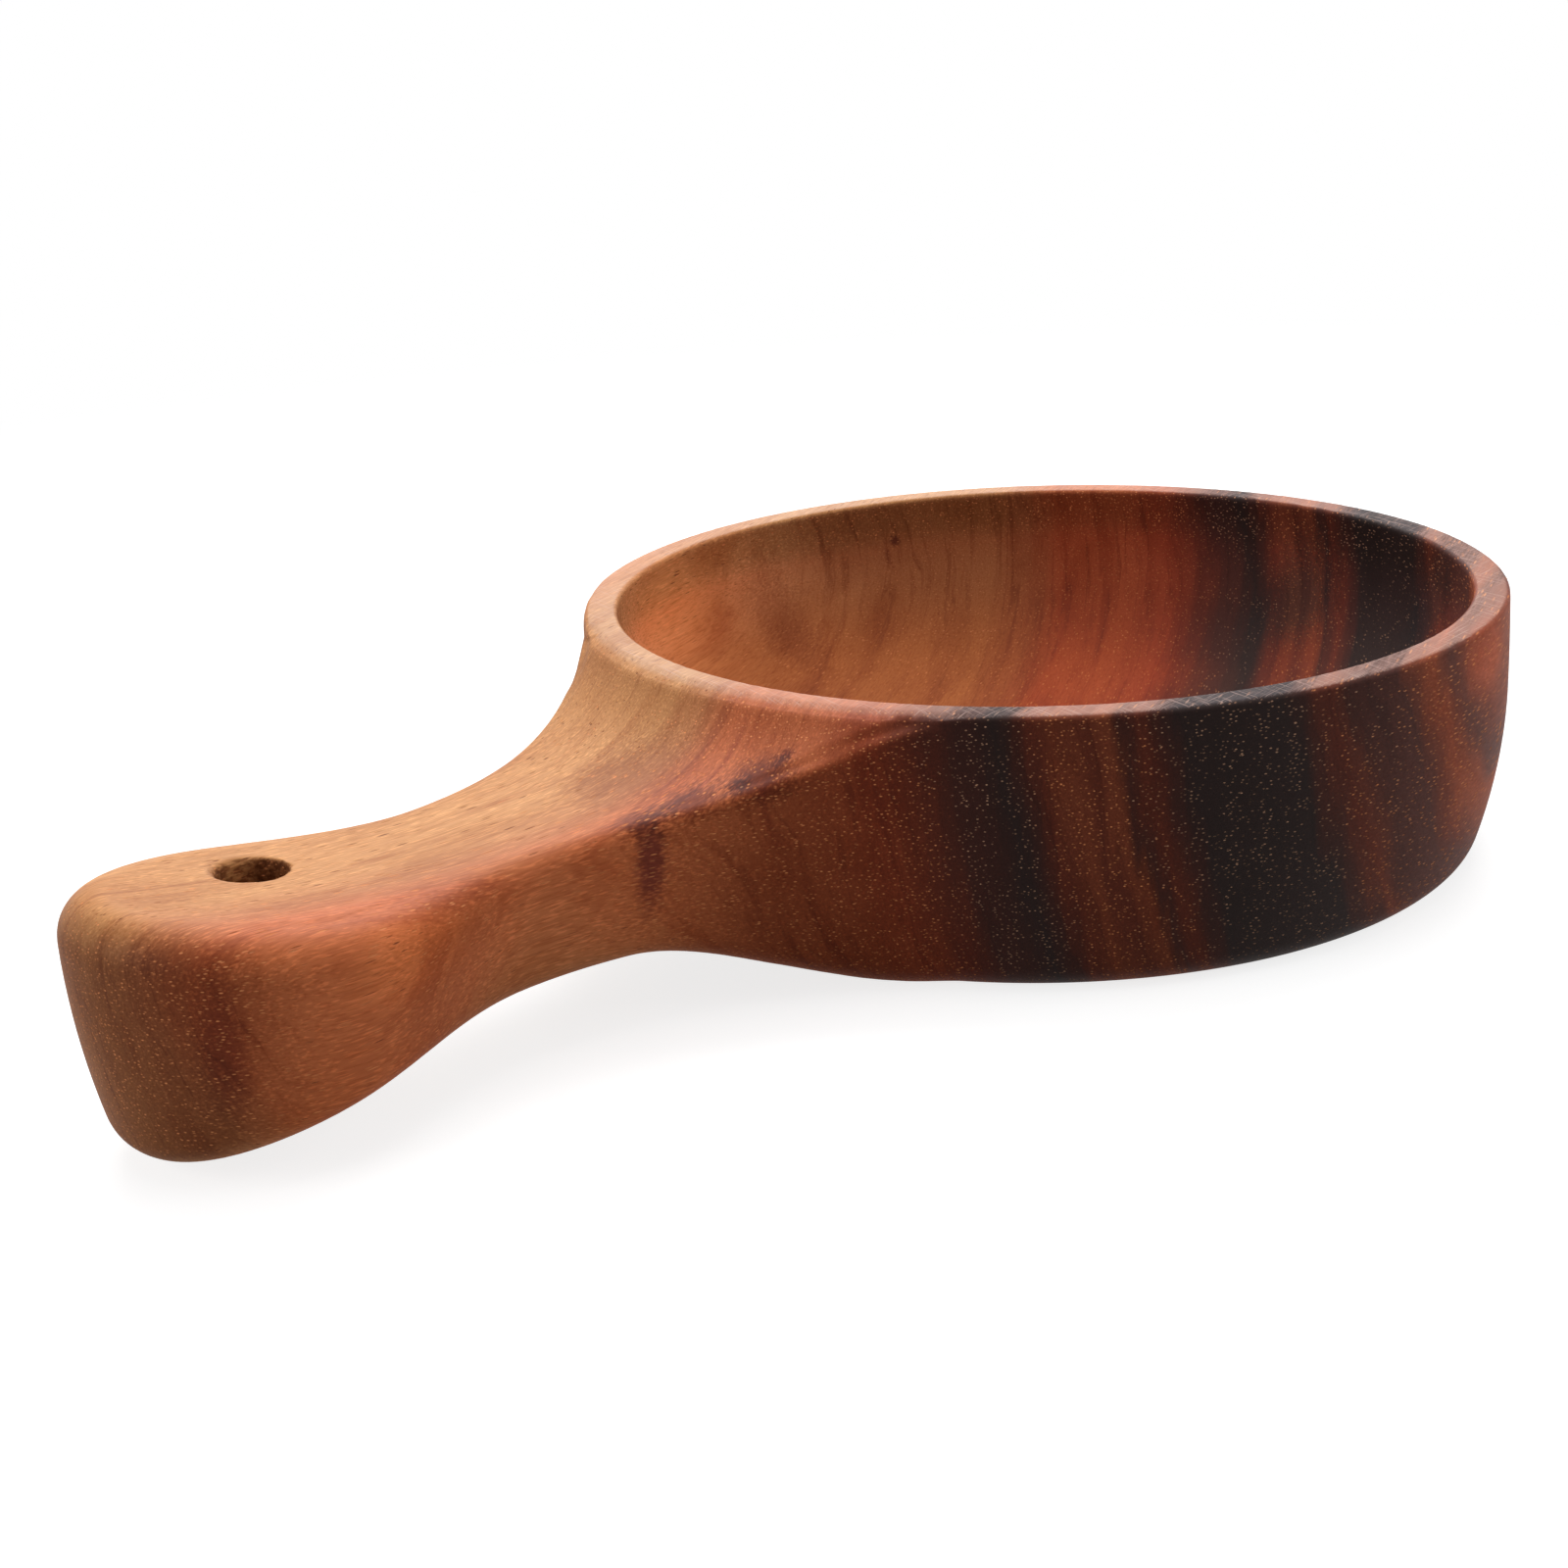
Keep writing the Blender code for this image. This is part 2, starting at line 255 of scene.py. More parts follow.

# Soft spots of another tone, some of them painted light, some painted shade: middle and reach along x, y and
# up in millimetres, and tint
SPOTS = [
    ((-78.0, -23.4, 37.0), (2.6, 1.6, 3.0), SPOT_TINT),         # near flare
    ((-85.0, -21.5, 34.8), (3.0, 2.0, 3.0), SPOT_TINT),         # near flare
    ((28.3, 62.8, 35.5), (1.4, 3.0, 1.4), SPOT_TINT),           # inside, far wall
    ((26.5, 62.6, 32.6), (1.0, 4.0, 3.0), SMUDGE_TINT),         # inside, far wall
    ((0.0, 62.0, 27.0), (9.0, 16.0, 16.0), SMUDGE_TINT),        # inside, far wall
    ((-99.0, -18.5, 26.5), (3.4, 5.0, 11.0), DARK_VEIN_TINT),   # near side of the neck
    ((-122.0, -19.0, 30.6), (28.0, 4.5, 2.6), SMUDGE_TINT),     # near edge of the grip
    ((-166.0, -17.0, 21.0), (4.0, 5.5, 14.0), VEIN_TINT),       # near corner of the paddle
    ((-167.0, -13.0, 33.0), (9.0, 14.0, 3.0), SMUDGE_TINT),     # end of the paddle's top
    ((-91.0, -5.0, 34.0), (15.0, 14.0, 10.0), BLUSH_TINT),      # scoop of the handle
    ((-28.0, 61.0, 32.0), (25.0, 16.0, 16.0), PAINTED_LIGHT_TINT),       # painted light: a pool of light inside, on the far wall
    ((-99.0, -17.0, 32.8), (7.0, 4.5, 4.0), PAINTED_CREASE_SHADE_TINT),       # painted shade along the near edge of the scoop
    ((-91.5, -18.5, 33.6), (8.0, 6.0, 4.0), PAINTED_CREASE_SHADE_TINT),       # painted shade along the near edge of the scoop
    ((-82.5, -23.0, 35.2), (8.0, 7.0, 4.6), PAINTED_CREASE_SHADE_TINT),       # painted shade along the near edge of the scoop
    ((-140.0, -22.0, 27.0), (16.0, 8.0, 8.0), TAN_AND_PAINTED_LIGHT_TINT),        # painted light on the near side of the paddle
    ((66.5, 9.0, 28.0), (9.0, 9.0, 18.0), TAN_AND_PAINTED_LIGHT_TINT),            # inside, opposite the handle
    ((64.5, -4.0, 27.0), (11.0, 12.0, 20.0), DULL_TINT),        # inside, opposite the handle
    ((57.0, -38.0, 33.0), (9.0, 9.0, 14.0), DULL_TINT),         # inside, near wall
    ((47.5, 4.0, 14.0), (9.0, 14.0, 7.0), TAN_AND_PAINTED_LIGHT_TINT),            # inside, low opposite the handle
    ((19.0, -72.5, 38.0), (14.0, 10.0, 9.0), PATCH_TINT),       # rim and wall, near side
]
SPOT_RAGGEDNESS = 0.8
SPOT_RANGE = (1.4, 0.6)      # in reaches from the middle, the noise included

# Thin dark sheets where the handle meets the bowl, by their place across the bands
VEINS = (-25.0, -16.2, -12.0)
VEIN_HALF_WIDTH = 1.1
VEIN_MIDDLE = (-86.0, -16.0, 34.0)
VEIN_REACH = (15.0, 20.0, 16.0)

# Pores, and the wood's brightness where they have each colour
PORE_ON_PALE = srgb(98, 48, 30)
PORE_ON_RED = srgb(236, 150, 96)
PORE_ON_DARK = srgb(196, 152, 124)
PORE_COLOURS = [(0.01, PORE_ON_DARK), (0.03, PORE_ON_RED), (0.18, PORE_ON_RED), (0.27, PORE_ON_PALE)]
PORE_TONE = (0.65, 1.35)     # brightness is multiplied by a chance number between these
PORE_STRENGTH = (0.35, 0.95)
PORE_EDGE = (0.31, 0.12)     # distance from its middle
PORE_ODDS = (0.68, 1.12)
PORE_ODDS_ON_END = 0.1
PORE_ODDS_IN_RED = 0.7
RED_FROM = (0.018, 0.04)     # brightness of the red wood, which has the most pores
RED_TO = (0.22, 0.12)

# Sanded flat of the rim, with a painted sheen in its tint and dust
RIM_DUST_AND_SHEEN = srgb(216, 168, 148)
DUST_AND_SHEEN_SHARE = 0.28
DUST_AND_SHEEN_RANGE = (0.012, 0.05)   # dust and painted sheen show from this brightness of the wood
SCRATCH_COLOUR = srgb(206, 172, 160)
SCRATCH_SHARE = 0.4

# Sheen and relief of the wood
WOOD_SPECULAR = 0.13
ROUGHNESS = (0.43, 0.59)     # between and on the fibres
RIM_ROUGHNESS = 0.12
INSIDE_ROUGHNESS = 0.17
SIDE_ROUGHNESS = 0.15
PORE_ROUGHNESS = 0.2
BUMP_STRENGTH = 0.3
BUMP_DISTANCE = 0.0002
FIBRE_HEIGHT = 0.3
PORE_DEPTH = 1.0
HOLE_DEPTH = 2.0

# Studio
FLOOR_SIZE = 6.0
FLOOR_COLOUR = (0.45, 0.45, 0.45, 1.0)
FLOOR_LIFT = 0.79
FLOOR_FADE_START = 0.20
FLOOR_FADE_END = 0.55
AMBIENT = 0.20
LIGHT_AIM = (-0.05, 0.0, 0.03)
SOFT_BOXES = [               # name, place, size and power
    ("key", (0.42, 0.52, 1.02), 1.2, 14.0),
    ("overhead", (0.0, 0.0, 1.1), 0.9, 3.5),
    ("back", (0.95, 0.88, 0.55), 0.9, 2.5),
    ("right", (0.65, -0.70, 0.5), 0.6, 2.2),
    ("left", (-0.95, 0.30, 0.40), 0.6, 3.0),
]
WHITE = (1.0, 1.0, 1.0, 1.0)


def ease(share):
    """Smooth step from 0 to 1."""
    share = min(max(share, 0.0), 1.0)
    return share * share * (3.0 - 2.0 * share)


def mesh_object(name, bm):
    """New object of a finished bmesh, linked to the scene."""
    mesh = bpy.data.meshes.new(name)
    bm.to_mesh(mesh)
    bm.free()
    thing = bpy.data.objects.new(name, mesh)
    bpy.context.scene.collection.objects.link(thing)
    return thing


def flatten(thing):
    """Replaces an object's mesh by what its modifiers make of it."""
    evaluated = thing.evaluated_get(bpy.context.evaluated_depsgraph_get())
    mesh = bpy.data.meshes.new_from_object(evaluated)
    thing.modifiers.clear()
    thing.data = mesh
    return thing


def turned(name, profile, steps):
    """Solid of revolution about Z from (radius, z) points that run from top to bottom."""
    bm = bmesh.new()
    verts = [bm.verts.new((radius, 0.0, z)) for radius, z in profile]
    for upper, lower in zip(verts, verts[1:]):
        bm.edges.new((upper, lower))
    thing = mesh_object(name, bm)
    screw = thing.modifiers.new("turn", "SCREW")
    screw.steps = steps
    screw.render_steps = steps
    screw.use_merge_vertices = True
    screw.merge_threshold = MERGE_DISTANCE
    return flatten(thing)


def combine(thing, operation, tool):
    """Joins a tool to an object or cuts it away, and removes the tool."""
    modifier = thing.modifiers.new(operation.lower(), "BOOLEAN")
    modifier.operation = operation
    modifier.solver = "EXACT"
    modifier.object = tool
    flatten(thing)
    bpy.data.objects.remove(tool, do_unlink=True)


def wall_inset(height, tuck=WALL_TUCK):
    """How far a side lies inside its widest line, at a height above its foot."""
    inset = tuck * max(0.0, 1.0 - height / TUCK_HEIGHT) ** 2
    if height < FOOT_ROUND:
        rise = 1.0 - height / FOOT_ROUND
        inset += FOOT_ROUND * (1.0 - math.sqrt(1.0 - rise * rise))
    return inset


def foot_heights():
    """Heights up the rounded foot, from the underside to the top of the rounding."""
    return [FOOT_ROUND * (1.0 - math.cos(QUARTER_TURN * i / ROUND_STEPS)) for i in range(ROUND_STEPS + 1)]


def bowl_profile():
    """Outer side of the turned bowl, from the middle of its top to the middle of its base."""
    profile = [(0.0, BOWL_HEIGHT)]
    for i in range(ROUND_STEPS + 1):
        angle = QUARTER_TURN * i / ROUND_STEPS
        profile.append((RIM_RADIUS - RIM_ROUND * (1.0 - math.sin(angle)),
                        BOWL_HEIGHT - RIM_ROUND * (1.0 - math.cos(angle))))
    top = BOWL_HEIGHT - RIM_ROUND
    for i in range(1, WALL_STEPS + 1):
        height = top + (FOOT_ROUND - top) * i / WALL_STEPS
        swell = WALL_SWELL * math.sin(QUARTER_TURN * min(1.0, (top - height) / SWELL_DEPTH))
        profile.append((RIM_RADIUS + swell - wall_inset(height), height))
    for height in reversed(foot_heights()[:-1]):
        profile.append((RIM_RADIUS + WALL_SWELL - wall_inset(height), height))
    profile.append((0.0, 0.0))
    return profile


def cavity_profile():
    """Inside of the bowl with its rounded lip, from above the rim to the middle of the floor."""
    mouth = RIM_RADIUS - RIM_WIDTH
    depth = BOWL_HEIGHT - FLOOR_THICKNESS
    lip_top = BOWL_HEIGHT + CUT_MARGIN
    profile = [(0.0, lip_top), (mouth + LIP_ROUND + CUT_MARGIN, lip_top)]
    for i in range(ROUND_STEPS):
        angle = QUARTER_TURN * i / ROUND_STEPS
        profile.append((mouth + LIP_ROUND * (1.0 - math.sin(angle)),
                        BOWL_HEIGHT - LIP_ROUND * (1.0 - math.cos(angle))))
    wall_depth = depth - LIP_ROUND
    for i in range(CAVITY_STEPS + 1):
        angle = QUARTER_TURN * i / CAVITY_STEPS
        radius = mouth * math.cos(angle) ** (2.0 / CAVITY_FULLNESS)
        drop = wall_depth * math.sin(angle) ** (2.0 / CAVITY_FULLNESS)
        profile.append((radius if i < CAVITY_STEPS else 0.0, BOWL_HEIGHT - LIP_ROUND - drop))
    return profile


def handle_outline():
    """Places along the handle's half outline, from inside the bowl to the end."""
    start = RIM_RADIUS - JOIN_SINK
    half_neck = 0.5 * NECK_WIDTH
    radius = (half_neck ** 2 + NECK_DISTANCE ** 2 - start ** 2) / (2.0 * (start - half_neck))
    start_angle = math.atan2(NECK_DISTANCE, half_neck + radius)
    places = []
    for i in range(FLARE_STEPS + 1):
        angle = start_angle * (1.0 - i / FLARE_STEPS)
        places.append((NECK_DISTANCE - radius * math.sin(angle),
                       half_neck + radius * (1.0 - math.cos(angle))))
    for i in range(1, PADDLE_STEPS):
        share = i / PADDLE_STEPS
        places.append((NECK_DISTANCE + (PADDLE_DISTANCE - NECK_DISTANCE) * share,
                       0.5 * (NECK_WIDTH + (PADDLE_WIDTH - NECK_WIDTH) * ease(share))))
    for i in range(END_STEPS + 1):
        angle = QUARTER_TURN * i / END_STEPS
        places.append((PADDLE_DISTANCE + (HANDLE_REACH - PADDLE_DISTANCE) * math.sin(angle),
                       0.5 * PADDLE_WIDTH * math.cos(angle) if i < END_STEPS else 0.0))
    return places


def rim_slope(distance):
    """Height of the rim's sloped outer edge beside the handle."""
    return BOWL_HEIGHT - RIM_SLOPE * min(max(distance - SLOPE_START, 0.0), SLOPE_END - SLOPE_START)


def handle_top(distance):
    """Height of the handle's top at a distance from the bowl's axis."""
    if distance < SLOPE_END:
        return rim_slope(distance)
    grip = ARCH_HEIGHT + NECK_THICKNESS
    scoop = (rim_slope(SLOPE_END) - grip) * math.exp((SLOPE_END - distance) / SCOOP_LENGTH)
    climb = max(0.0, (distance - NECK_DISTANCE) / (HANDLE_REACH - NECK_DISTANCE))
    return grip + scoop + END_RISE * climb ** 2


def handle_underside(along):
    """Height of the handle's arched underside, by the place along the handle."""
    if along < ARCH_TOP:
        arch = ARCH_HEIGHT * ease((along - ARCH_START) / (ARCH_TOP - ARCH_START))
        return max(arch, BASE_CLEARANCE)
    share = (along - ARCH_TOP) / (HANDLE_REACH - ARCH_TOP)
    return ARCH_HEIGHT - (ARCH_HEIGHT - END_LIFT) * share ** ARCH_POWER


def top_edge(distance):
    """Rounding of the handle's top edge: crisp beside the bowl, soft round the paddle."""
    share = (distance - EDGE_START) / (PADDLE_DISTANCE - EDGE_START)
    return FLARE_EDGE + (PADDLE_EDGE - FLARE_EDGE) * ease(share)


def toward_middle(place, share):
    """Plan point between the handle's middle line and a place."""
    pivot = math.hypot(PADDLE_DISTANCE, 0.5 * PADDLE_WIDTH)
    distance = math.hypot(*place)
    if distance <= pivot:
        angle = math.atan2(place[1], place[0]) * share
        return distance * math.cos(angle), distance * math.sin(angle)
    return pivot + (place[0] - pivot) * share, place[1] * share


def handle_section(place, inward):
    """Half section of the handle, from the middle of its top round the edge to the underside."""
    distance = math.hypot(*place)
    top = handle_top(distance)
    foot = handle_underside(place[0])
    tuck = WALL_TUCK + (GRIP_TUCK - WALL_TUCK) * ease((distance - GRIP_START) / GRIP_BLEND)
    edge = top_edge(distance)

    def across(height, inset=0.0):
        """Plan point on the side at a height above the underside, moved further inward by an inset."""
        inset += wall_inset(height, tuck)
        return place[0] + inward[0] * inset, place[1] + inward[1] * inset

    points = []
    shift = edge * ease((distance - NECK_DISTANCE) / (PADDLE_DISTANCE - NECK_DISTANCE))
    for i in range(TOP_STEPS):
        share = i / TOP_STEPS
        u, v = toward_middle(across(top - foot, edge), share)
        points.append((u, v, handle_top(math.hypot(u, v) + shift * share)))
    for i in range(ROUND_STEPS + 1):
        angle = QUARTER_TURN * i / ROUND_STEPS
        z = top - edge * (1.0 - math.cos(angle))
        points.append((*across(z - foot, edge * (1.0 - math.sin(angle))), z))
    low = foot + FOOT_ROUND
    high = top - edge
    for i in range(1, SIDE_STEPS):
        z = high + (low - high) * i / SIDE_STEPS
        points.append((*across(z - foot), z))
    for height in reversed(foot_heights()):
        points.append((*across(height), foot + height))
    bottom = across(0.0)
    lead = place[0] - bottom[0]
    for i in range(TOP_STEPS - 1, -1, -1):
        share = i / TOP_STEPS
        u, v = toward_middle(bottom, share)
        points.append((u, v, handle_underside(u + lead * share)))
    return points


def handle():
    """Half of the handle lofted through its sections, mirrored about its middle plane."""
    places = handle_outline()
    bm = bmesh.new()
    rings = []
    for i, place in enumerate(places):
        before = places[max(i - 1, 0)]
        after = places[min(i + 1, len(places) - 1)]
        along = (after[0] - before[0], after[1] - before[1])
        length = math.hypot(*along)
        inward = (along[1] / length, -along[0] / length)
        if i == len(places) - 1:
            inward = (-1.0, 0.0)
        rings.append([bm.verts.new((-u, -v, z)) for u, v, z in handle_section(place, inward)])
    bm.faces.new(rings[0])
    for ring, following in zip(rings, rings[1:]):
        for a, b, c, d in zip(ring, ring[1:], following[1:], following):
            bm.faces.new((a, d, c, b))
    bmesh.ops.remove_doubles(bm, verts=bm.verts, dist=MERGE_DISTANCE)
    thing = mesh_object("handle_blank", bm)
    mirror = thing.modifiers.new("other_half", "MIRROR")
    mirror.use_axis = (False, True, False)
    mirror.merge_threshold = MERGE_DISTANCE
    return flatten(thing)


def hang_hole():
    """Drill with a small countersink at both faces of the handle."""
    top = handle_top(math.hypot(HOLE_DISTANCE, HOLE_OFFSET))
    foot = handle_underside(HOLE_DISTANCE)
    radius = 0.5 * HOLE_DIAMETER
    wide = radius + HOLE_CHAMFER + CUT_MARGIN
    profile = [(0.0, top + CUT_MARGIN), (wide, top + CUT_MARGIN), (radius, top - HOLE_CHAMFER),
               (radius, foot + HOLE_CHAMFER), (wide, foot - CUT_MARGIN), (0.0, foot - CUT_MARGIN)]
    drill = turned("drill", profile, HOLE_STEPS)
    drill.location = (-HOLE_DISTANCE, HOLE_OFFSET, 0.0)
    return drill


def join_share(place):
    """How much a point of the skin belongs to the join between the bowl's wall and the handle."""
    distance = math.hypot(place.x, place.y)
    angle = math.atan2(place.y, -place.x)
    beside = ease((JOIN_HALF_ANGLE - abs(angle)) / JOIN_FADE_ANGLE)
    near = 1.0 - ease((abs(distance - RIM_RADIUS - JOIN_OUT) - JOIN_REACH) / JOIN_FADE)
    below = ease((BOWL_HEIGHT - JOIN_BELOW - place.z) / JOIN_FADE)
    worn_end = ease((angle - JOIN_END_ANGLE) / JOIN_FADE_ANGLE)
    return beside * near * max(below, worn_end)


def slope_rim(body):
    """Lowers the rim's outer edge beside the handle, fading out toward the ends of the flare."""
    for vertex in body.data.vertices:
        place = vertex.co
        angle = abs(math.atan2(place.y, -place.x))
        drop = BOWL_HEIGHT - rim_slope(math.hypot(place.x, place.y))
        drop *= ease((SLOPE_HALF_ANGLE - angle) / SLOPE_FADE_ANGLE)
        place.z = min(place.z, BOWL_HEIGHT - drop)


def carved_bowl():
    """The whole bowl as one fine mesh, with the joins and edges sanded smooth."""
    body = turned("carved_bowl", bowl_profile(), TURN_STEPS)
    combine(body, "UNION", handle())
    combine(body, "DIFFERENCE", turned("cavity", cavity_profile(), TURN_STEPS))
    combine(body, "DIFFERENCE", hang_hole())
    remesh = body.modifiers.new("fine_skin", "REMESH")
    remesh.mode = "VOXEL"
    remesh.voxel_size = VOXEL
    sand = body.modifiers.new("sanding", "SMOOTH")
    sand.factor = SANDING_FACTOR
    sand.iterations = SANDING_PASSES
    flatten(body)
    slope_rim(body)
    join = body.vertex_groups.new(name="join")
    for vertex in body.data.vertices:
        weight = join_share(vertex.co)
        if weight > 0.0:
            join.add([vertex.index], weight, "REPLACE")
    blend = body.modifiers.new("join_sanding", "SMOOTH")
    blend.factor = SANDING_FACTOR
    blend.iterations = JOIN_SANDING_PASSES
    blend.vertex_group = join.name
    thin = body.modifiers.new("fewer_faces", "DECIMATE")
    thin.ratio = SKIN_TRIANGLES / (TRIANGLES_PER_FACE * len(body.data.polygons))
    flatten(body)
    body.data.shade_smooth()
    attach(body, "root")
    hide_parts("bowl")
    return body


def make_camera():
    """Camera at the photograph's place: turned round the rim's middle, then panned, tilted and rolled."""
    flat = CAMERA_DISTANCE * math.cos(CAMERA_ELEVATION)
    place = Vector((0.0, -flat, CAMERA_DISTANCE * math.sin(CAMERA_ELEVATION)))
    ahead = -place.normalized()
    right = Vector((1.0, 0.0, 0.0))
    pan = Matrix.Rotation(CAMERA_PAN, 3, "Z")
    ahead = pan @ ahead
    right = pan @ right
    ahead = Matrix.Rotation(CAMERA_TILT, 3, right) @ ahead
    up = right.cross(ahead)
    rolled = right * math.cos(CAMERA_ROLL) + up * math.sin(CAMERA_ROLL)
    up = up * math.cos(CAMERA_ROLL) - right * math.sin(CAMERA_ROLL)
    turn = Matrix.Rotation(-HANDLE_TURN, 4, "Z")
    axes = Matrix((rolled, up, -ahead)).transposed().to_4x4()
    data = bpy.data.cameras.new("photo_camera")
    data.sensor_width = SENSOR_MM
    data.lens = SENSOR_MM * FOCAL_PIXELS / PHOTO_PIXELS
    data.clip_start = CAMERA_CLIP
    camera = bpy.data.objects.new("photo_camera", data)
    bpy.context.scene.collection.objects.link(camera)
    rim_middle = Matrix.Translation((0.0, 0.0, BOWL_HEIGHT))
    camera.matrix_world = rim_middle @ turn @ Matrix.Translation(place) @ axes
    bpy.context.scene.camera = camera


# Colour sockets of a mix node
MIX_FIRST = 6
MIX_SECOND = 7
MIX_RESULT = 2


class Graph:
    """Short calls for building a node tree; every value is a constant or another node's output."""

    def __init__(self, tree):
        self.tree = tree
        tree.nodes.clear()

    def node(self, kind, inputs=None, **settings):
        """New node with its settings and inputs filled in."""
        node = self.tree.nodes.new(kind)
        for name, value in settings.items():
            setattr(node, name, value)
        for name, value in (inputs or {}).items():
            self.put(node.inputs[name], value)
        return node

    def put(self, socket, value):
        """Links an output to a socket, or sets the socket to a constant."""
        if isinstance(value, bpy.types.NodeSocket):
            self.tree.links.new(value, socket)
        else:
            socket.default_value = value

    def math(self, operation, *values, clamp=False):
        node = self.node("ShaderNodeMath", operation=operation, use_clamp=clamp)
        for socket, value in zip(node.inputs, values):
            self.put(socket, value)
        return node.outputs[0]

    def add(self, *values):
        return self.math("ADD", *values)

    def times(self, *values):
        return self.math("MULTIPLY", *values)

    def between(self, share, at_none, at_full):
        """Number that goes from one value to another while a share goes from 0 to 1."""
        return self.add(self.times(share, at_full - at_none), at_none)

    def length(self, *parts):
        """Length of a vector, from its parts."""
        squares = [self.times(part, part) for part in parts]
        total = squares[0]
        for square in squares[1:]:
            total = self.add(total, square)
        return self.math("SQRT", total)

    def split(self, vector):
        return self.node("ShaderNodeSeparateXYZ", {"Vector": vector}).outputs

    def split_colour(self, colour):
        return self.node("ShaderNodeSeparateColor", {"Color": colour}).outputs

    def blend(self, share, first, second):
        """Mix of two shaders."""
        return self.node("ShaderNodeMixShader", {0: share, 1: first, 2: second}).outputs[0]

    def vector(self, x, y, z):
        return self.node("ShaderNodeCombineXYZ", {"X": x, "Y": y, "Z": z}).outputs[0]

    def step(self, value, low, high):
        """0 below low, 1 above high, smooth between; falls instead where low is above high."""
        node = self.node("ShaderNodeMapRange", {"Value": value, "From Min": low, "From Max": high},
                         interpolation_type="SMOOTHSTEP")
        return node.outputs["Result"]

    def noise(self, vector, detail, roughness=0.5):
        """Soft noise about its middle value."""
        node = self.node("ShaderNodeTexNoise", {"Vector": vector, "Scale": 1.0, "Detail": detail,
                                                "Roughness": roughness})
        return node.outputs[0]

    def cells(self, vector):
        """Distance to the nearest of scattered points, and a random colour for each of them."""
        node = self.node("ShaderNodeTexVoronoi", {"Vector": vector, "Scale": 1.0})
        return node.outputs["Distance"], node.outputs["Color"]

    def mix(self, share, first, second, blend="MIX"):
        """Mix of two colours."""
        inputs = {0: share, MIX_FIRST: first, MIX_SECOND: second}
        node = self.node("ShaderNodeMix", inputs, data_type="RGBA", blend_type=blend)
        return node.outputs[MIX_RESULT]

    def ramp(self, share, stops):
        """Colour by a share from 0 to 1, from (place, colour) stops."""
        node = self.node("ShaderNodeValToRGB", {"Fac": share})
        elements = node.color_ramp.elements
        while len(elements) < len(stops):
            elements.new(1.0)
        for element, (place, colour) in zip(elements, stops):
            element.position = place
            element.color = colour
        return node.outputs["Color"]


class Grain:
    """Places in the wood in millimetres: along the grain, across it, and up, and how its surface lies.

    The fibres follow the handle and turn aside where they enter the bowl.
    """

    def __init__(self, g):
        self.g = g
        coordinates = g.node("ShaderNodeTexCoord").outputs
        self.x, self.y, self.up = (g.times(part, MM) for part in g.split(coordinates["Object"]))
        facing = g.split(coordinates["Normal"])
        softened = g.math("EXPONENT", g.times(g.add(self.x, GRAIN_TURN_MM), 1.0 / GRAIN_TURN_SOFT_MM))
        turned_off = g.times(g.math("LOGARITHM", g.add(softened, 1.0), math.e), GRAIN_TURN_SOFT_MM)
        self.along = self.x
        self.across = g.math("SUBTRACT", self.y, g.times(turned_off, GRAIN_SLOPE))
        slope = g.times(g.math("DIVIDE", softened, g.add(softened, 1.0)), GRAIN_SLOPE)
        length = g.math("SQRT", g.add(g.times(slope, slope), 1.0))
        with_grain = g.math("DIVIDE", g.add(facing[0], g.times(facing[1], slope)), length)
        self.facing_up = facing[2]
        self.looks_up = g.step(self.facing_up, *TOP_RANGE)
        # end grain darkens less where it faces up, which is painted top light
        self.end = g.times(g.step(g.math("ABSOLUTE", with_grain), *END_RANGE),
                           g.between(self.looks_up, 1.0, END_SHARE_ON_TOP_PAINTED_LIGHT))
        self.radius = g.length(self.x, self.y)
        self.inside = g.times(g.step(self.radius, MOUTH_MM, MOUTH_MM - INSIDE_FADE_MM),
                              g.step(self.up, RIM_MM, RIM_MM - INSIDE_DEPTH_MM))
        self.sheet = self.bands()

    def place(self, size, across=None):
        """Texture place scaled by a figure's size along the grain, across it and up."""
        g = self.g
        return g.vector(g.times(self.along, 1.0 / size[0]), g.times(across or self.across, 1.0 / size[1]),
                        g.times(self.up, 1.0 / size[2]))

    def swing(self, size, height, detail):
        """Noise that swings to both sides of nought."""
        g = self.g
        return g.times(g.add(g.noise(self.place(size), detail), -NOISE_MIDDLE), height)

    def bands(self):
        """Place across the growth bands, which are nearly upright wavy sheets that hold the grain."""
        g = self.g
        lean = g.times(g.add(self.up, -RIM_MM), -BAND_LEAN)
        wave = self.swing(WAVE_SIZE, WAVE_HEIGHT, detail=2.0)
        ripple = self.swing(RIPPLE_SIZE, RIPPLE_HEIGHT, detail=3.0)
        return g.add(g.add(self.across, lean), g.add(wave, ripple))


def tinted(g, share, colour, tint):
    """A colour multiplied by a tint, as far as the share says."""
    return g.mix(share, colour, g.mix(1.0, colour, tint, "MULTIPLY"))


def spot(g, wood, middle, reach, ragged):
    """1 in the middle of a soft spot and 0 past its reach, with an edge made ragged by a noise."""
    parts = [g.times(g.add(part, -at), 1.0 / far)
             for part, at, far in zip((wood.x, wood.y, wood.up), middle, reach)]
    return g.step(g.add(g.length(*parts), g.times(ragged, SPOT_RAGGEDNESS)), *SPOT_RANGE)


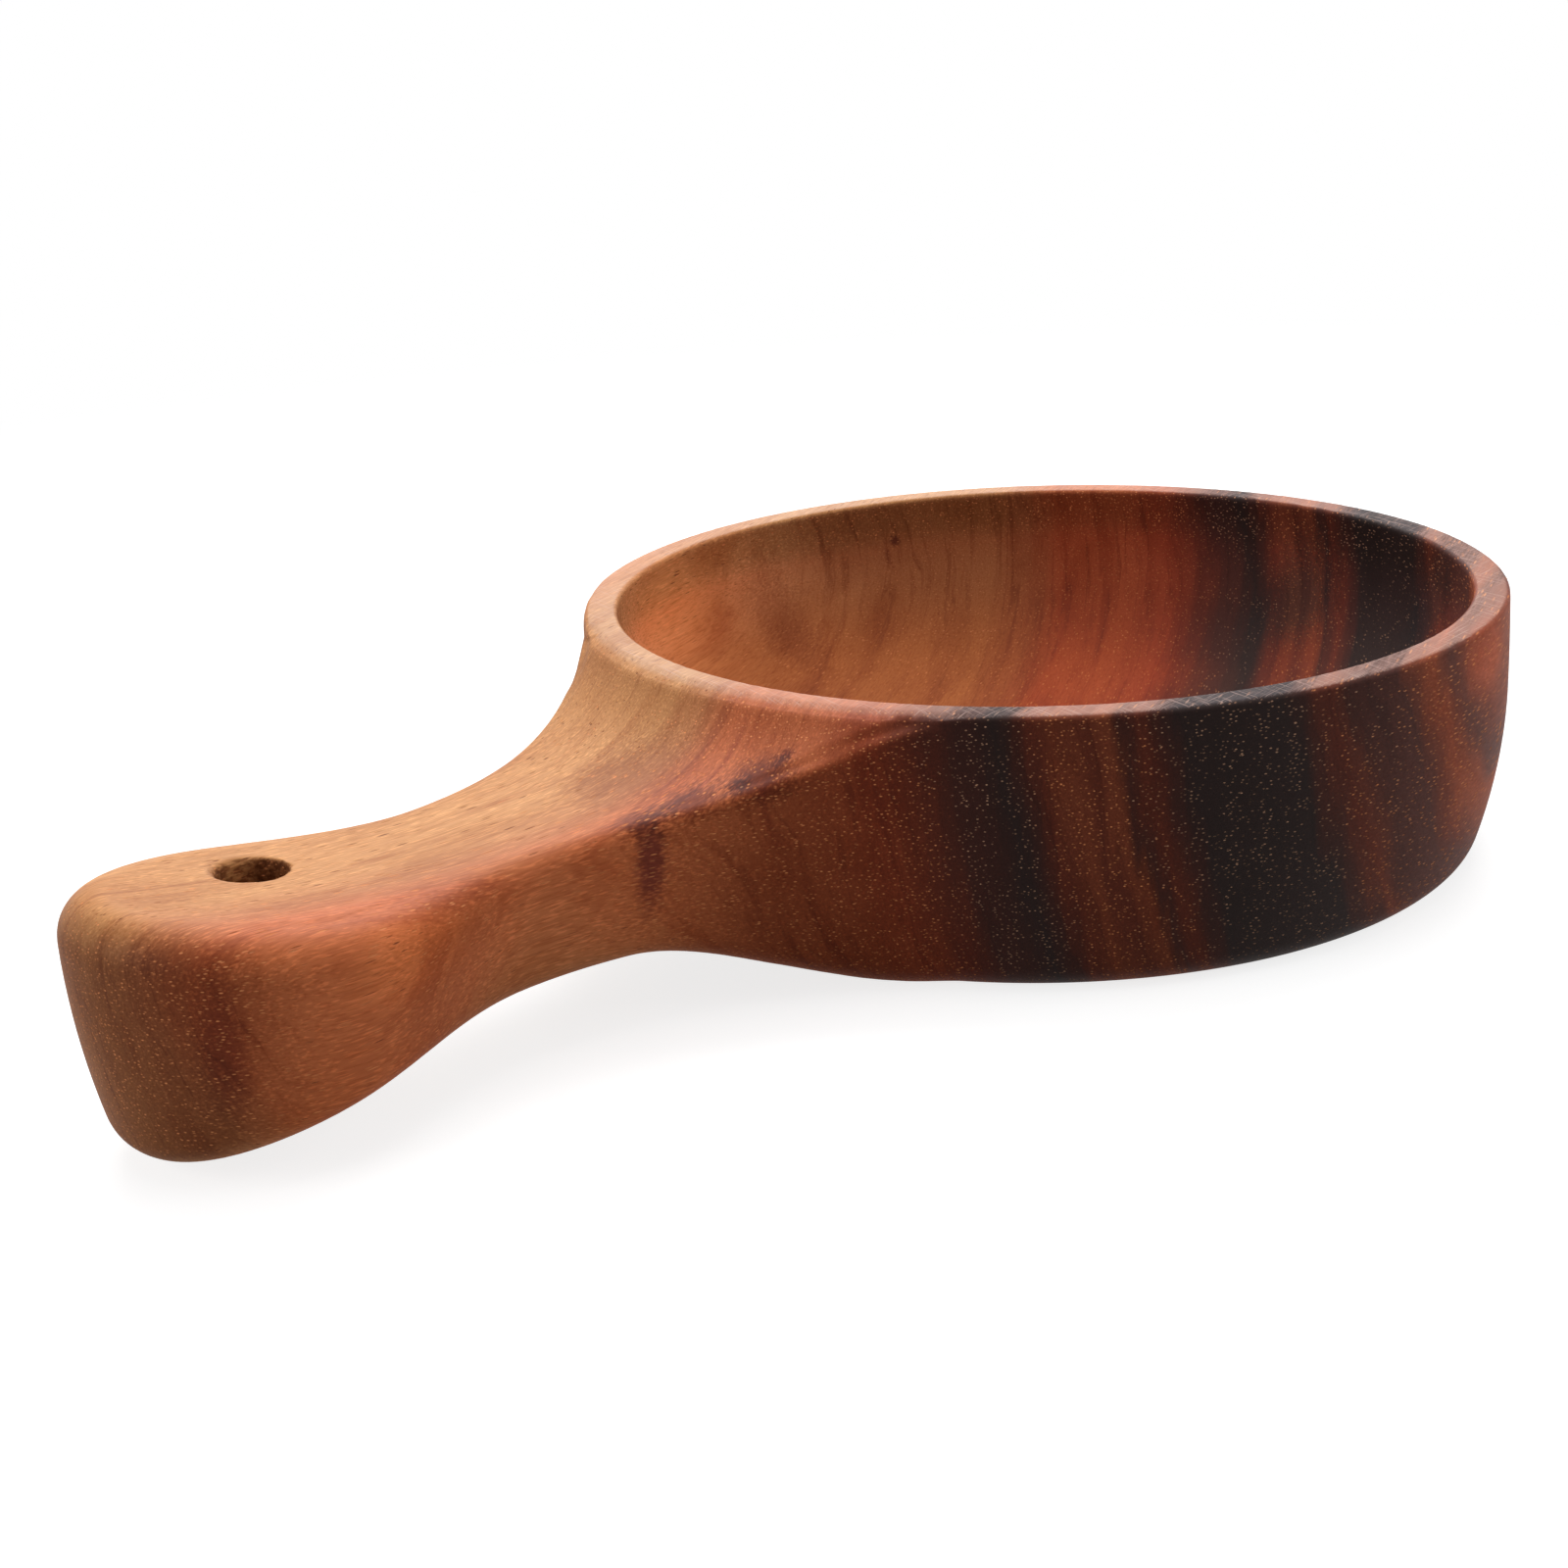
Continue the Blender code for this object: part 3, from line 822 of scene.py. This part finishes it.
def figured_with_painted_light(g, wood, fibre):
    """Colour of the growth bands, with streaks, thin lines, fibres, flecks, spots and veins in them; some
    spots are painted light, some painted shade.
    """
    low, high = BANDS[0][0], BANDS[-1][0]
    share = g.math("DIVIDE", g.math("SUBTRACT", wood.sheet, low), high - low, clamp=True)
    colour = g.ramp(share, [((place - low) / (high - low), tone) for place, tone in BANDS])
    mottle = g.noise(wood.place(MOTTLE_SIZE), detail=3.0)
    streak = g.noise(wood.place(STREAK_SIZE, wood.sheet), detail=3.0, roughness=0.6)
    line = g.noise(wood.place(LINE_SIZE, wood.sheet), detail=2.0, roughness=0.6)
    fleck = g.noise(wood.place(FLECK_SIZE), detail=1.0)
    lined = g.times(g.step(line, *LINE_RANGE), g.between(wood.end, LINE_SHARE_ON_SIDES, 1.0))
    flecked = g.times(g.step(fleck, *FLECK_RANGE), g.between(wood.looks_up, 1.0, FLECK_SHARE_ON_TOP))
    flecked = g.times(flecked, g.between(wood.inside, 1.0, FLECK_SHARE_INSIDE))
    colour = tinted(g, g.step(mottle, *MOTTLE_RANGE), colour, MOTTLE_TINT)
    colour = tinted(g, g.step(streak, *STREAK_RANGE), colour, STREAK_TINT)
    colour = tinted(g, lined, colour, LINE_TINT)
    colour = tinted(g, g.step(fibre, *FIBRE_RANGE), colour, FIBRE_TINT)
    colour = tinted(g, flecked, colour, FLECK_TINT)
    for middle, reach, tint in SPOTS:
        colour = tinted(g, spot(g, wood, middle, reach, fleck), colour, tint)
    near_join = spot(g, wood, VEIN_MIDDLE, VEIN_REACH, mottle)
    for place in VEINS:
        offset = g.math("ABSOLUTE", g.add(wood.sheet, -place))
        vein = g.times(near_join, g.step(offset, VEIN_HALF_WIDTH, 0.0))
        colour = tinted(g, vein, colour, VEIN_TINT)
    return colour


def oiled_with_painted_light(g, wood, colour):
    """Colour under oil: end grain drinks more and is darker, less so where it faces up, which is painted top
    light; inside the bowl the upright walls get painted light and the floor painted shade.
    """
    colour = tinted(g, wood.end, colour, END_TINT)
    # painted light on the inside walls, painted shade on the inside floor
    return tinted(g, wood.inside, colour, g.mix(wood.looks_up, INSIDE_WALL_PAINTED_LIGHT_TINT, INSIDE_FLOOR_PAINTED_SHADE_TINT))


def torn_hole(g, wood):
    """How torn the wood is in the drilled hole and at its edge; 0 elsewhere."""
    x = g.add(wood.x, MM * HOLE_DISTANCE)
    y = g.add(wood.y, -MM * HOLE_OFFSET)
    torn = g.noise(wood.place(TORN_SIZE), detail=2.0)
    near = g.step(g.length(x, y), HOLE_RADIUS_MM + HOLE_FADE_MM, HOLE_RADIUS_MM)
    return g.times(near, g.step(torn, *TORN_RANGE))


def pores(g, wood, brightness):
    """Place, strength and colour of the pores, which are dashes on the sides and dots on the end grain."""
    distance, chance = g.cells(wood.place(PORE_SIZE))
    luck = g.split_colour(chance)
    patch = g.noise(wood.place(PORE_PATCH_SIZE), detail=1.0)
    red = g.times(g.step(brightness, *RED_FROM), g.step(brightness, *RED_TO))
    bonus = g.add(g.times(wood.end, PORE_ODDS_ON_END), g.times(red, PORE_ODDS_IN_RED))
    odds = g.add(g.add(luck[0], patch), bonus)
    pore = g.times(g.step(distance, *PORE_EDGE), g.step(odds, *PORE_ODDS))
    strength = g.times(g.between(g.times(luck[1], luck[1]), *PORE_STRENGTH),
                       g.between(wood.inside, 1.0, PORE_SHARE_INSIDE))
    colour = g.ramp(g.times(brightness, g.between(luck[2], *PORE_TONE)), PORE_COLOURS)
    return pore, strength, colour


def rim_flat(g, wood):
    """1 on the flat of the rim, 0 elsewhere."""
    on_rim = g.times(g.step(wood.radius, MOUTH_MM, MOUTH_MM + RIM_FADE_MM),
                     g.step(wood.up, RIM_MM - RIM_FADE_LOW_MM, RIM_MM - RIM_FADE_HIGH_MM))
    return g.times(on_rim, g.step(wood.facing_up, *RIM_FLATNESS))


def scratches(g, wood):
    """Fine crossing lines left by sanding."""
    found = 0.0
    for angle in SCRATCH_ANGLES:
        along = g.add(g.times(wood.x, math.cos(angle)), g.times(wood.y, math.sin(angle)))
        across = g.add(g.times(wood.x, -math.sin(angle)), g.times(wood.y, math.cos(angle)))
        place = g.vector(g.times(along, 1.0 / SCRATCH_SIZE[0]), g.times(across, 1.0 / SCRATCH_SIZE[1]), angle)
        lines = g.noise(place, detail=1.0)
        found = g.math("MAXIMUM", found, g.step(lines, *SCRATCH_RANGE))
    return found


def sanded(g, wood, on_rim, brightness, colour):
    """Colour with the flat of the rim tinted lighter and greyer, partly sanded wood and partly painted sheen,
    with dust and painted sheen where the wood isn't darkest, and scratched.
    """
    # the rim's tint and dust are in part a painted sheen
    colour = tinted(g, on_rim, colour, RIM_SANDED_AND_SHEEN_TINT)
    dust_and_sheen = g.times(on_rim, g.step(brightness, *DUST_AND_SHEEN_RANGE))
    colour = g.mix(g.times(dust_and_sheen, DUST_AND_SHEEN_SHARE), colour, RIM_DUST_AND_SHEEN)
    scratch = g.times(scratches(g, wood), on_rim)
    return g.mix(g.times(scratch, SCRATCH_SHARE), colour, SCRATCH_COLOUR)


def wood_material():
    """Oiled hardwood: dark heartwood bands, fibre streaks and open pores, all running with the grain, with
    painted light and shade in places.
    """
    material = bpy.data.materials.new("oiled_wood")
    material.use_nodes = True
    g = Graph(material.node_tree)
    wood = Grain(g)
    fibre = g.noise(wood.place(FIBRE_SIZE), detail=2.0, roughness=0.6)
    hole = torn_hole(g, wood)
    on_rim = rim_flat(g, wood)

    # Colour
    colour = oiled_with_painted_light(g, wood, figured_with_painted_light(g, wood, fibre))
    colour = tinted(g, hole, colour, HOLE_TINT)
    brightness = g.node("ShaderNodeRGBToBW", {"Color": colour}).outputs[0]
    pore, strength, pore_colour = pores(g, wood, brightness)
    colour = g.mix(g.times(pore, strength), colour, pore_colour)
    colour = sanded(g, wood, on_rim, brightness, colour)

    # Roughness, higher on fibres, the rim, the inside, upright sides and pores
    upright = g.times(g.between(wood.looks_up, 1.0, 0.0), g.between(wood.inside, 1.0, 0.0))
    rough = g.between(fibre, *ROUGHNESS)
    for share, extra in ((on_rim, RIM_ROUGHNESS), (wood.inside, INSIDE_ROUGHNESS),
                         (upright, SIDE_ROUGHNESS), (pore, PORE_ROUGHNESS)):
        rough = g.add(rough, g.times(share, extra))

    # Relief: raised fibres, sunk pores and a torn hole
    height = g.times(fibre, FIBRE_HEIGHT)
    for share, depth in ((pore, PORE_DEPTH), (hole, HOLE_DEPTH)):
        height = g.add(height, g.times(share, -depth))
    bump = g.node("ShaderNodeBump", {"Strength": BUMP_STRENGTH, "Distance": BUMP_DISTANCE, "Height": height})

    shader = g.node("ShaderNodeBsdfPrincipled", {"Base Color": colour, "Roughness": rough,
                                                 "Specular IOR Level": WOOD_SPECULAR,
                                                 "Normal": bump.outputs["Normal"]})
    g.node("ShaderNodeOutputMaterial", {"Surface": shader.outputs["BSDF"]})
    return material


def seen_directly(g):
    """1 for what the camera sees, straight or in a reflection; 0 for light on its way to a surface."""
    ray = g.node("ShaderNodeLightPath").outputs
    return g.math("MAXIMUM", ray["Is Camera Ray"], g.math("MAXIMUM", ray["Is Glossy Ray"],
                                                          ray["Is Transmission Ray"]))


def make_floor():
    """Pale table that keeps the bowl's soft shadow and fades into white further out."""
    bm = bmesh.new()
    bmesh.ops.create_grid(bm, x_segments=1, y_segments=1, size=FLOOR_SIZE)
    floor = mesh_object("floor", bm)
    floor.location = (0.0, 0.0, CAD_BOX[0][2])
    material = bpy.data.materials.new("pale_floor")
    material.use_nodes = True
    g = Graph(material.node_tree)
    place = g.node("ShaderNodeTexCoord").outputs["Object"]
    distance = g.node("ShaderNodeVectorMath", {0: place}, operation="LENGTH").outputs["Value"]
    faded = g.step(distance, FLOOR_FADE_START, FLOOR_FADE_END)
    table = g.node("ShaderNodeBsdfDiffuse", {"Color": FLOOR_COLOUR}).outputs[0]
    lift = g.node("ShaderNodeEmission", {"Color": WHITE, "Strength": FLOOR_LIFT}).outputs[0]
    white = g.node("ShaderNodeEmission", {"Color": WHITE, "Strength": 1.0}).outputs[0]
    shown = g.blend(faded, g.node("ShaderNodeAddShader", {0: table, 1: lift}).outputs[0], white)
    g.node("ShaderNodeOutputMaterial", {"Surface": g.blend(seen_directly(g), table, shown)})
    floor.data.materials.append(material)


def make_world():
    """White surroundings to the camera, a dim even light to everything else."""
    world = bpy.data.worlds.new("studio")
    world.use_nodes = True
    bpy.context.scene.world = world
    g = Graph(world.node_tree)
    strength = g.between(seen_directly(g), AMBIENT, 1.0)
    background = g.node("ShaderNodeBackground", {"Color": WHITE, "Strength": strength})
    g.node("ShaderNodeOutputWorld", {"Surface": background.outputs[0]})


def make_light(name, place, size, power):
    """Square soft box at a place, turned to face the bowl."""
    data = bpy.data.lights.new(name, "AREA")
    data.size = size
    data.energy = power
    light = bpy.data.objects.new(name, data)
    bpy.context.scene.collection.objects.link(light)
    light.location = place
    light.rotation_euler = (Vector(LIGHT_AIM) - Vector(place)).to_track_quat("-Z", "Y").to_euler()


bowl = carved_bowl()
bowl.data.materials.clear()
bowl.data.materials.append(wood_material())
make_floor()
make_world()
for soft_box in SOFT_BOXES:
    make_light(*soft_box)
make_camera()
bpy.context.scene.view_settings.view_transform = "Standard"
